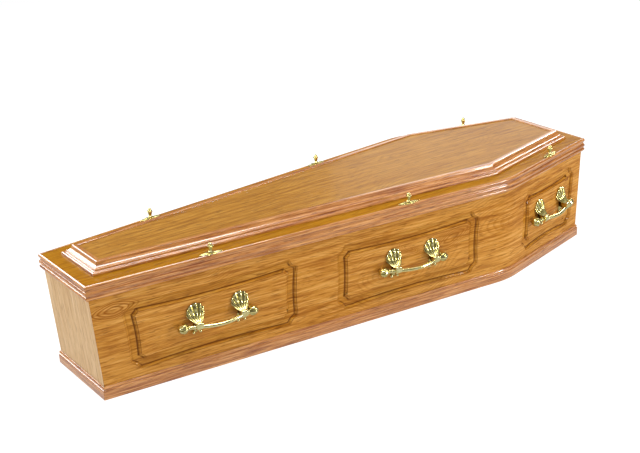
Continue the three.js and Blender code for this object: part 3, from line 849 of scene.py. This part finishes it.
def along_plan(points):
    """Distance along the side's plan line of each point, whichever side it is on."""
    path = side_plan(*[(a + b) / 2 for a, b in (SIDE_INSET, END_INSET)])
    return nearest(np.column_stack([points[:, 0], np.abs(points[:, 1])]), path)[2]


def loop_points(mesh):
    co = np.zeros(len(mesh.vertices) * 3)
    mesh.vertices.foreach_get("co", co)
    index = np.zeros(len(mesh.loops), int)
    mesh.loops.foreach_get("vertex_index", index)
    return co.reshape(-1, 3) * 1000, index


def cut(obj, cutters):
    for cutter in cutters:
        modifier = obj.modifiers.new("cut", "BOOLEAN")
        modifier.operation = "DIFFERENCE"
        modifier.solver = "MANIFOLD"
        modifier.object = cutter
    graph = bpy.context.evaluated_depsgraph_get()
    mesh = bpy.data.meshes.new_from_object(obj.evaluated_get(graph))
    obj.modifiers.clear()
    obj.data = mesh
    for cutter in cutters:
        bpy.data.objects.remove(cutter)


def side_wall_at(z):
    path = body_plan(z)
    return path, mitres_of(path)


def build_side(side):
    rings = wall_rings(side_wall_at)
    points = np.concatenate(rings)
    faces = turned_out(points, board_faces(rings))
    board = make_object("side_board_plain", points, faces, OAK_SIDE)
    cutters = []
    for name, spec in PANELS.items():
        cutters.append(make_object(f"cutter_{name}", *groove_cutter(spec), OAK_SIDE))
    cut(board, cutters)
    mesh = board.data
    name = "left" if side > 0 else "right"
    board.name = f"side_board_{name}_fine"
    if side < 0:
        mesh.transform(Matrix.Scale(-1, 4, (0, 1, 0)))
        mesh.flip_normals()
    points, index = loop_points(mesh)
    upright = points * [1, side, 1]
    for key, values in zip(("groove_shade", "routed"), groove_shade_of(upright)):
        put_values(mesh, key, values)
    uv = np.column_stack([along_plan(points), points[:, 2]]) * 0.001
    put_uv(mesh, uv[index] + ([0, 0] if side < 0 else [5.3, 0.02]))
    smooth_by_angle(mesh, 28)
    set_on(board, f"side_board_{name}")


def build_end(end):
    pick = 0 if end == "foot" else -1

    def end_wall_at(z):
        path, mitres = side_wall_at(z)
        return end_run(path[pick], mitres[pick])

    rings = wall_rings(end_wall_at)
    points = np.concatenate(rings)
    faces = turned_out(points, board_faces(rings))
    obj = make_object(f"end_board_{end}_fine", points, faces, OAK_END)
    points, index = loop_points(obj.data)
    shift = 0.4 if end == "foot" else 2.9
    put_uv(obj.data, points[index][:, [2, 1]] * 0.001 + shift)
    set_on(obj, f"end_board_{end}")


def flat_board(node, path_at, low, high, material, shift=0.0):
    """A level board whose outline follows the plan; path_at gives its left side at a height."""
    rings = []
    for z in (low, high):
        path = path_at(z)
        other = (path * [1, -1])[::-1]
        both = np.concatenate([path, other])
        rings.append(np.column_stack([both, np.full(len(both), z)]))
    points, faces = loft(rings)
    obj = make_object(f"{node}_fine", points, turned_out(points, faces), material, angle=30)
    points, index = loop_points(obj.data)
    put_uv(obj.data, points[index][:, :2] * 0.001 + shift)
    set_on(obj, node)


def build_boards():
    build_side(-1)
    build_side(1)
    build_end("foot")
    build_end("head")
    seat = WALL + GAP
    flat_board(
        "base_board", lambda z: body_plan(z, seat), 0, BASE_THICKNESS, OAK_LID, 9.0
    )
    edge = EDGE_THICKNESS + GAP
    flat_board(
        "lid_board", lambda z: side_plan(edge, edge),
        LID_TOP - LID_THICKNESS, LID_TOP, OAK_LID, 4.0,
    )
    fit = FRAME_WIDTH + GAP
    panel_top = LID_TOP + GAP + FRAME_HEIGHT - PANEL_SINK
    flat_board(
        "raised_panel",
        lambda z: side_plan(FRAME_SIDE_INSET + fit, FRAME_END_INSET + fit, False),
        panel_top - PANEL_THICKNESS, panel_top, OAK_PANEL,
    )


# Handles, made once in their own frame: [along, out, up]
def bar_point(s):
    turn = math.pi / 2 * min(1.0, abs(s) / BAR_BOW)
    out = BAR_OUT_MIDDLE - (BAR_OUT_MIDDLE - BAR_OUT_TIP) * math.sin(turn) ** 2
    return np.array([s, out, -BAR_SAG * math.cos(turn) ** 2])


def bar_axes(s):
    along = unit(bar_point(s + 1) - bar_point(s - 1))
    across = unit(np.cross([0, 0, 1.0], along))
    return bar_point(s), across, np.cross(along, across)


def bead(s, place, width, height):
    d = (s - place) / width
    return height * math.sqrt(max(0.0, 1 - d * d)) if abs(d) < 1 else 0.0


BUD_PROFILE = (
    (0.0, 0.50), (0.06, 0.56), (0.16, 0.80), (0.3, 0.94), (0.5, 1.0),
    (0.68, 0.99), (0.85, 0.86), (0.95, 0.64), (1.0, 0.36),
)


BAR_SIDES = 28
PETALS = 6
PETAL_GROOVES = (0.16, 0.14)
LEAF_RISE = 0.10
LEAF_TIP = (0.42, 0.20)
LEAF_EDGE = 0.05


def bar_radius(s, angle):
    """Plain rod with fine collars, flaring into blunt buds of overlapping leaves."""
    a = abs(s + BAR_SLIDE)
    radius = BAR_RADIUS + bead(a, BUD_START + 1.5, 1.5, COLLAR_RISE)
    if s < 0:
        radius += bead(a, BUD_START - 9, 1.3, COLLAR_RISE)
    t = (a - BUD_START - BUD_NECK) / (BUD_LENGTH - BUD_NECK)
    if t <= 0:
        return radius, 0.0
    places, shares = zip(*BUD_PROFILE)
    belly = BUD_RADIUS * float(np.interp(t, places, shares))
    wave = abs(math.cos(PETALS * angle / 2))
    other = abs(math.sin(PETALS * angle / 2))
    tip = LEAF_TIP[0] + LEAF_TIP[1] * wave
    leaf = float(smoothstep(1 - (t - tip) / LEAF_EDGE)) if t > tip else 1.0
    front, behind = (1 - wave), (1 - other)
    groove = PETAL_GROOVES[0] * front**1.3 * leaf + PETAL_GROOVES[1] * behind**1.3 * (1 - leaf)
    step = LEAF_RISE * leaf * smoothstep(t / 0.4)
    # Painted shade on the buds: in the grooves between petals and under each leaf's edge
    hollow_shade = 0.9 * (front * leaf + behind * (1 - leaf)) ** 1.5
    hollow_shade += 0.6 * hump(t, tip + LEAF_EDGE, 0.035)
    return max(1.0, belly * (0.94 + step - groove)), min(1.0, hollow_shade)


def bar_mesh():
    plain = list(np.linspace(0, BUD_START - 12, 36))
    ends = list(np.linspace(BUD_START - 11, BAR_REACH, 64))
    half = plain + ends
    rings, hollow_shades = [], []
    for s in [-s for s in reversed(half[1:])] + half:
        centre, across, lift = bar_axes(s - BAR_SLIDE)
        ring = []
        for i in range(BAR_SIDES):
            angle = 2 * math.pi * i / BAR_SIDES
            radius, hollow_shade = bar_radius(s - BAR_SLIDE, angle)
            ring.append(centre + across * radius * math.cos(angle) + lift * radius * math.sin(angle))
            hollow_shades.append(hollow_shade)
        rings.append(ring)
    points, faces = loft(rings)
    return points, turned_out(points, faces), np.array(hollow_shades)


def shell_point(side, t):
    """A spot of the shell as [along, up], and its rib: 1 on a crest, 0 in a valley.

    side runs from -1 to 1 across the fan, and t from the neck to the rim.
    """
    angle = SHELL_SWEEP * side
    place = side * (1 - RIB_SPREAD * (1 - side**2))
    wave = abs(math.cos(math.pi * (SHELL_RIBS - 1) * (place + 1) / 2))
    rise = (SHELL_TOP - SHELL_MIDDLE) * math.cos(angle)
    rim = np.array([SHELL_WIDTH / 2 * math.sin(angle), SHELL_MIDDLE + rise])
    rim = rim + (rim - [0, SHELL_MIDDLE]) * (wave**0.7 - 1) * RIM_SCALLOP
    neck = np.array([side * NECK_WIDTH / 2, NECK_UP])
    bow = np.array([side * 3.0, 0]) * math.sin(math.pi * t)
    spot = neck + (rim - neck) * t + bow
    return spot, wave


def shell_out(side, t):
    """Distance of the shell's face from the board, averaged over a short stretch to leave no kink."""
    near = np.clip(t + np.array([-0.09, -0.045, 0, 0.045, 0.09]), 0, 1)
    middle = np.interp(near, SHELL_PLACES, SHELL_OUT_MIDDLE)
    edge = np.interp(near, SHELL_PLACES, SHELL_OUT_EDGE)
    return float(np.mean(middle + (edge - middle) * side**2))


def shell_mesh():
    """A ribbed fan that lies on the board at its rim and sweeps out to a neck over the bar."""
    rays, steps = (SHELL_RIBS - 1) * 10, 34
    front, back, hollow_shade = [], [], []
    for j in range(rays + 1):
        side = 2 * j / rays - 1
        for k in range(steps + 1):
            t = k / steps
            spot, wave = shell_point(side, t)
            deepening = smoothstep((t + 0.05) / 0.35) * (1 - 0.4 * smoothstep((t - 0.7) / 0.3))
            flute = FLUTE_DEPTH * (1 - wave**0.75) * deepening
            lip = LIP_RISE * hump(t, 0.95, 0.05) * wave
            fold = smoothstep((t + 0.02) / 0.25) * (1 - smoothstep((t - 0.88) / 0.10))
            face = max(1.4, shell_out(side, t) - flute + lip)
            behind = max(0.0, face - flute * 0.1 - (4.6 - 2.6 * t))
            front.append((spot[0], face, spot[1]))
            back.append((spot[0] * 0.985, behind, spot[1] - 1.6 * (1 - t)))
            # Painted shade in the valleys between the ribs
            hollow_shade.append(min(0.72, 0.95 * (1 - wave) ** 0.9 * fold))
    count = steps + 1
    points = front + back
    # The back of the sheet is painted dark all over, as painted shade
    hollow_shade = hollow_shade + [0.7] * len(back)
    start = len(front)
    faces = []
    for j in range(rays):
        for k in range(steps):
            a, b = j * count + k, (j + 1) * count + k
            faces.append((a, a + 1, b + 1, b))
            faces.append((start + b, start + b + 1, start + a + 1, start + a))
    rim = [j * count + steps for j in range(rays + 1)]
    rim += [rays * count + k for k in range(steps - 1, 0, -1)]
    rim += [j * count for j in range(rays, -1, -1)]
    rim += list(range(1, steps))
    size = len(rim)
    for i in range(size):
        j = (i + 1) % size
        faces.append((rim[j], rim[i], start + rim[i], start + rim[j]))
    points = np.array(points)
    return points, turned_out(points, faces), np.array(hollow_shade)


EYE_SKIN = 0.5
ARM_BEHIND = 0.2
ARM_TOP = 26.0
ARM_ROUNDING = 6.0
ARM_CROWN = 0.13
POST_SHRINK = 0.24


def arm_mesh():
    """The eye that wraps the bar below the neck, with a post back to the plate."""
    axis = bar_point(HANDLE_SPAN / 2)
    front = axis[1] + BAR_RADIUS + EYE_WALL + EYE_SKIN
    under = axis[2] - BAR_RADIUS - EYE_WALL - EYE_SKIN
    outline = [
        (ARM_BEHIND, under + 4), (axis[1] - 10, under + 3.0), (axis[1] - 2, under),
        (axis[1] + 4.5, under + 0.4), (front, axis[2] - 3), (front + 0.2, axis[2] + 6),
        (front - 1.2, NECK_UP + 1.5), (axis[1], NECK_UP + 3), (axis[1] * 0.5, 15.0),
        (ARM_BEHIND, ARM_TOP),
    ]
    smooth = rounded(outline, ARM_ROUNDING, 8)
    middle = smooth.mean(axis=0)
    rings, hollow_shade = [], []
    for k in range(-10, 11):
        x = k / 10
        crown = 1 - ARM_CROWN * abs(x) ** 3.5
        shape = (smooth - middle) * [crown, crown] + middle
        shape[:, 0] = np.maximum(shape[:, 0], ARM_BEHIND / 2)
        post = 1 - POST_SHRINK * (1 - smoothstep((smooth[:, 0] - 8) / 14))
        across = x * NECK_WIDTH / 2 * post
        rings.append(np.column_stack([across, shape[:, 0], shape[:, 1]]))
        # Painted shade: darkest on the post near the board, behind the shell
        hollow_shade += list(1 - smoothstep((smooth[:, 0] - 14) / 12))
    points, faces = loft(rings)
    return points, turned_out(points, faces), np.array(hollow_shade)


def circle(radius, up, turns):
    return np.column_stack([radius * np.cos(turns), radius * np.sin(turns), np.full(len(turns), up)])


def ball(centre, radius):
    turns = np.linspace(0, 2 * math.pi, 20, endpoint=False)
    rings = []
    for a in np.pi * np.arange(1, 12) / 12:
        rings.append(circle(radius * math.sin(a), -radius * math.cos(a), turns) + centre)
    points, faces = loft(rings)
    return points, turned_out(points, faces), np.zeros(len(points))


CURL_TURNS = 1.35
CURL_PLACE = (24.0, 3.6, 27.0)
CURL_RADIUS = 3.0
CURL_THICK = 1.5


def curl(centre, radius, thick, sign):
    """A small rolled scroll that lies against the plate."""
    rings = []
    count = 40
    for i in range(count + 1):
        t = i / count
        angle = CURL_TURNS * 2 * math.pi * t
        r = radius * (1 - 0.72 * t)
        w = thick * (1 - 0.45 * t)
        outward = np.array([sign * math.cos(angle), 0, math.sin(angle)])
        ring = []
        for b in np.linspace(0, 2 * math.pi, 10, endpoint=False):
            ring.append(centre + outward * (r + w * math.cos(b)) + np.array([0, w * math.sin(b), 0]))
        rings.append(ring)
    points, faces = loft(rings)
    # Painted shade, even over the whole scroll
    return points, turned_out(points, faces), np.full(len(points), 0.1)


def tail_mesh():
    """Flat tail below the arm that carries the two drops."""
    outline = []
    for a in np.linspace(0, 2 * math.pi, 32, endpoint=False):
        width = DROP_SPACING / 2 + 1.0 - 2.5 * hump(math.sin(a), -0.2, 0.3)
        outline.append((width * math.cos(a), -13 + 15 * math.sin(a)))
    rings = []
    for out, share in ((0.1, 1.0), (2.0, 1.0), (3.0, 0.9), (3.4, 0.7)):
        rings.append([(x * share, out, (z + 13) * share - 13) for x, z in outline])
    points, faces = loft(rings)
    # Painted shade, even over the whole tail
    return points, turned_out(points, faces), np.full(len(points), 0.35)


def joined(parts):
    points, faces, hollow_shade = [], [], []
    start = 0
    for p, f, h in parts:
        points.append(np.asarray(p, float))
        faces += [tuple(i + start for i in face) for face in f]
        hollow_shade.append(h)
        start += len(p)
    return np.concatenate(points), faces, np.concatenate(hollow_shade)


def bracket_mesh():
    parts = [shell_mesh(), arm_mesh(), tail_mesh()]
    for side in (-1, 1):
        parts.append(ball((side * DROP_SPACING / 2, DROP_RADIUS, -DROP_BELOW), DROP_RADIUS))
    for side in (-1, 1):
        parts.append(curl(CURL_PLACE * np.array([side, 1, 1]), CURL_RADIUS, CURL_THICK, side))
    points, faces, hollow_shade = joined(parts)
    return points + [HANDLE_SPAN / 2, GAP, 0], faces, hollow_shade


def place_metal(node, part, axes, spot):
    """A brass piece put at a spot; the rows of axes are its along, out and up directions."""
    points, faces, hollow_shade = part
    if np.linalg.det(axes) < 0:
        faces = turned_round(faces)
    obj = make_object(f"{node}_fine", points @ axes + spot, faces, BRASS, angle=40)
    put_values(obj.data, "hollow_shade", hollow_shade)
    set_on(obj, node)


def build_handles():
    bar = bar_mesh()
    bracket = bracket_mesh()
    for place, spec in PANELS.items():
        stretch, start, length = spec[:3]
        _, along, up, normal = FACES[stretch]
        spot = on_face(stretch, start + length / 2 + HANDLE_SHIFT, HANDLE_HEIGHT, 0)
        for side, sign in (("left", 1), ("right", -1)):
            mirror = np.array([1, sign, 1])
            axes = np.array([along, normal, up]) * mirror
            for end, x in (("headward", 1), ("footward", -1)):
                turned = axes * [[x], [1], [1]]
                place_metal(f"handle_bracket_{place}_{side}_{end}", bracket, turned, spot * mirror)
            place_metal(f"handle_bar_{place}_{side}", bar, axes, spot * mirror)


# Lid screws
def plate_mesh():
    """A long pointed leaf plate with scalloped edges and raised veins."""
    rays, steps = 96, 14
    turns = np.linspace(0, 2 * math.pi, rays, endpoint=False)
    wave = np.abs(np.cos(PLATE_LOBES * turns / 2))
    taper = np.copysign(np.abs(np.sin(turns)) ** 1.25, np.sin(turns))
    rings = []
    hollow_shade = [0.0]
    for k in range(1, steps + 1):
        t = k / steps
        edge = 1 - PLATE_SCALLOP * (1 - wave**0.8) * smoothstep((t - 0.4) / 0.6)
        valley = (1 - wave) * (1 - smoothstep((t - 0.85) / 0.15))
        up = PLATE_RIM + (PLATE_CROWN - PLATE_RIM) * (1 - t**1.4)
        up -= VEIN_DEPTH * valley * smoothstep((t - 0.25) / 0.3)
        up += RIM_BEAD * hump(t, 0.9, 0.07)
        x = PLATE_LENGTH / 2 * t * edge * np.cos(turns)
        y = PLATE_WIDTH / 2 * t * edge * taper
        rings.append(np.column_stack([x, y, np.maximum(0.5, up)]))
        # Painted shade in the valleys between the veins
        hollow_shade += list(np.minimum(1.0, valley * smoothstep((t - 0.25) / 0.2)))
    rings.append(rings[-1] * [1, 1, 0])
    # Painted shade on the plate's edge, down to the lid
    hollow_shade += [0.6] * rays
    points = np.vstack([[0.0, 0.0, PLATE_CROWN], *rings])
    faces = [(0, 1 + i, 1 + (i + 1) % rays) for i in range(rays)]
    for k in range(steps):
        a, b = 1 + k * rays, 1 + (k + 1) * rays
        faces += [(p, s, r, q) for p, q, r, s in band(a, b, rays)]
    faces.append(tuple(b + i for i in reversed(range(rays))))
    return points, turned_out(points, faces), np.array(hollow_shade)


def knob_mesh():
    """A waisted, fluted thumb knob with a small ball on top."""
    disc = KNOB_DISC
    profile = [(KNOB_FOOT * 0.5, 0.0), (KNOB_FOOT, 0.3), (KNOB_FOOT, KNOB_FOOT_TOP)]
    for t in np.linspace(0.2, 1, 5):
        radius = KNOB_FOOT + (KNOB_WAIST - KNOB_FOOT) * smoothstep(t)
        profile.append((radius, KNOB_FOOT_TOP + (KNOB_WAIST_AT - KNOB_FOOT_TOP) * t))
    for t in np.linspace(0.1, 1, 10):
        radius = KNOB_WAIST + (KNOB_RADIUS - 0.8 - KNOB_WAIST) * t**1.5
        profile.append((radius, KNOB_WAIST_AT + (disc - 2.3 - KNOB_WAIST_AT) * t))
    profile += [(KNOB_RADIUS, disc - 2.0), (KNOB_RADIUS, disc - 0.6), (KNOB_RADIUS - 0.7, disc)]
    profile += [(KNOB_BALL * 0.75, disc + 0.3), (KNOB_BALL * 0.62, disc + 1.2)]
    for t in np.linspace(0.16, 0.97, 12):
        a = math.pi * t
        profile.append((KNOB_BALL * math.sin(a), disc + 4.9 - 4.6 * math.cos(a)))
    turns = np.linspace(0, 2 * math.pi, 48, endpoint=False)
    fold = 1 - np.abs(np.cos(KNOB_FLUTES / 2 * turns))
    rings, hollow_shade = [], []
    for radius, up in profile:
        fluted = smoothstep((up - KNOB_WAIST_AT) / 2) * (1 - smoothstep((up - disc + 3) / 1.5))
        rings.append(circle(radius * (1 - KNOB_FLUTE_SHARE * fluted * fold), up, turns))
        # Painted shade in the flutes
        hollow_shade += list(0.8 * fluted * fold)
    points, faces = loft(rings)
    return points, turned_out(points, faces), np.array(hollow_shade)


def build_screws():
    plate = plate_mesh()
    knob = knob_mesh()
    line = side_plan(SCREW_INSET, SCREW_INSET, False)
    for place, station in SCREW_STATIONS.items():
        x = station - HALF
        slope = -HEAD_SLOPE if station > SHOULDER_AT else FOOT_SLOPE
        y = line[1][1] + (x - line[1][0]) * math.tan(slope)
        for side, sign in (("left", 1), ("right", -1)):
            turn = sign * slope
            c, s = math.cos(turn), math.sin(turn)
            axes = np.array([[c, s, 0], [-s, c, 0], [0, 0, 1]])
            seat = np.array([x, sign * y, LID_TOP + BEAD_RISE + GAP])
            place_metal(f"screw_plate_{place}_{side}", plate, axes, seat)
            place_metal(f"lid_screw_{place}_{side}", knob, axes, seat + [0, 0, PLATE_CROWN + GAP])


# Stage, lights and camera
def build_floor():
    mesh = bpy.data.meshes.new("floor")
    size, level = 400.0, -0.0005
    corners = [(x * size, y * size, level) for x, y in ((-1, -1), (1, -1), (1, 1), (-1, 1))]
    mesh.from_pydata(corners, [], [(0, 1, 2, 3)])
    n = Nodes("floor_white")
    n.give("Base Color", (0.3, 0.3, 0.3, 1))
    n.give("Roughness", 0.8)
    n.give("Emission Color", (1, 1, 1, 1))
    n.give("Emission Strength", 0.8)
    mesh.materials.append(n.material)
    floor = add_object("floor", mesh)
    floor.visible_glossy = False


def area_light(name, place, target, size, power):
    data = bpy.data.lights.new(name, "AREA")
    data.shape = "RECTANGLE"
    data.size, data.size_y = size
    data.energy = power
    lamp = add_object(name, data)
    lamp.location = place
    aim = Vector(target) - Vector(place)
    lamp.rotation_euler = aim.to_track_quat("-Z", "Y").to_euler()


def glow(tree, height, numbers, interpolation):
    """Strength of the room's light against the height of the view's direction."""
    node = tree.nodes.new("ShaderNodeMapRange")
    node.interpolation_type = interpolation
    for key, value in zip(SPAN_SOCKETS, numbers):
        node.inputs[key].default_value = value
    tree.links.new(height, node.inputs["Value"])
    return node.outputs["Result"]


def build_world():
    """A dim room, lighter overhead and below, so that gloss has something to mirror."""
    world = bpy.data.worlds.new("studio")
    world.use_nodes = True
    tree = world.node_tree
    back = tree.nodes["Background"]
    place = tree.nodes.new("ShaderNodeTexCoord")
    split = tree.nodes.new("ShaderNodeSeparateXYZ")
    tree.links.new(place.outputs["Generated"], split.inputs[0])
    height = split.outputs["Z"]
    both = tree.nodes.new("ShaderNodeMath")
    both.operation = "ADD"
    tree.links.new(glow(tree, height, (0.4, 0.95, 0.14, 0.9), "SMOOTHSTEP"), both.inputs[0])
    tree.links.new(glow(tree, height, (-0.02, -0.12, 0.0, 0.45), "LINEAR"), both.inputs[1])
    back.inputs["Color"].default_value = (1, 1, 1, 1)
    tree.links.new(both.outputs[0], back.inputs["Strength"])
    bpy.context.scene.world = world


def build_lights():
    build_world()
    area_light("overhead", (0.0, -1.0, 3.0), (-0.2, -0.2, 0.3), (1.4, 0.9), 44)
    area_light("front_right", (2.9, -3.6, 1.3), (0.2, -0.2, 0.2), (1.0, 0.8), 80)
    area_light("foot_side", (-4.0, 0.4, 1.6), (-0.8, 0, 0.3), (1.6, 1.4), 38)
    area_light("back_left", (-2.0, 3.45, 2.1), (-0.9, 0, 0.3), (2.2, 1.6), 118)
    area_light("back_right", (3.7, 3.3, 1.7), (0.5, 0, 0.3), (2.2, 1.3), 13)
    area_light("head_side", (3.8, 0.9, 2.6), (0.7, 0, 0.3), (0.9, 0.6), 34)


# The camera fitted to the photograph: focal length in pixels, directions and place
SENSOR = 36.0
IMAGE_WIDTH = 640
FOCAL_PIXELS = 1236.6
CAMERA_RIGHT = (0.81158708, -0.58273685, -0.04176345)
CAMERA_DOWN = (-0.25063855, -0.28271262, -0.92588006)
CAMERA_FORWARD = (0.52773737, 0.76189982, -0.37550223)
CAMERA_PLACE = (-2.1776, -3.0447, 1.7525)


def build_camera():
    data = bpy.data.cameras.new("camera")
    data.sensor_width = SENSOR
    data.lens = FOCAL_PIXELS / IMAGE_WIDTH * SENSOR
    data.clip_start = 0.05
    data.clip_end = 200.0
    camera = add_object("camera", data)
    turn = Matrix((CAMERA_RIGHT, -Vector(CAMERA_DOWN), -Vector(CAMERA_FORWARD))).transposed()
    camera.matrix_world = Matrix.Translation(CAMERA_PLACE) @ turn.to_4x4()
    bpy.context.scene.camera = camera


build_camera()
build_floor()
build_lights()
build_boards()
build_mouldings()
build_handles()
build_screws()

bpy.context.scene.view_settings.view_transform = "Standard"

bpy.context.view_layer.update()
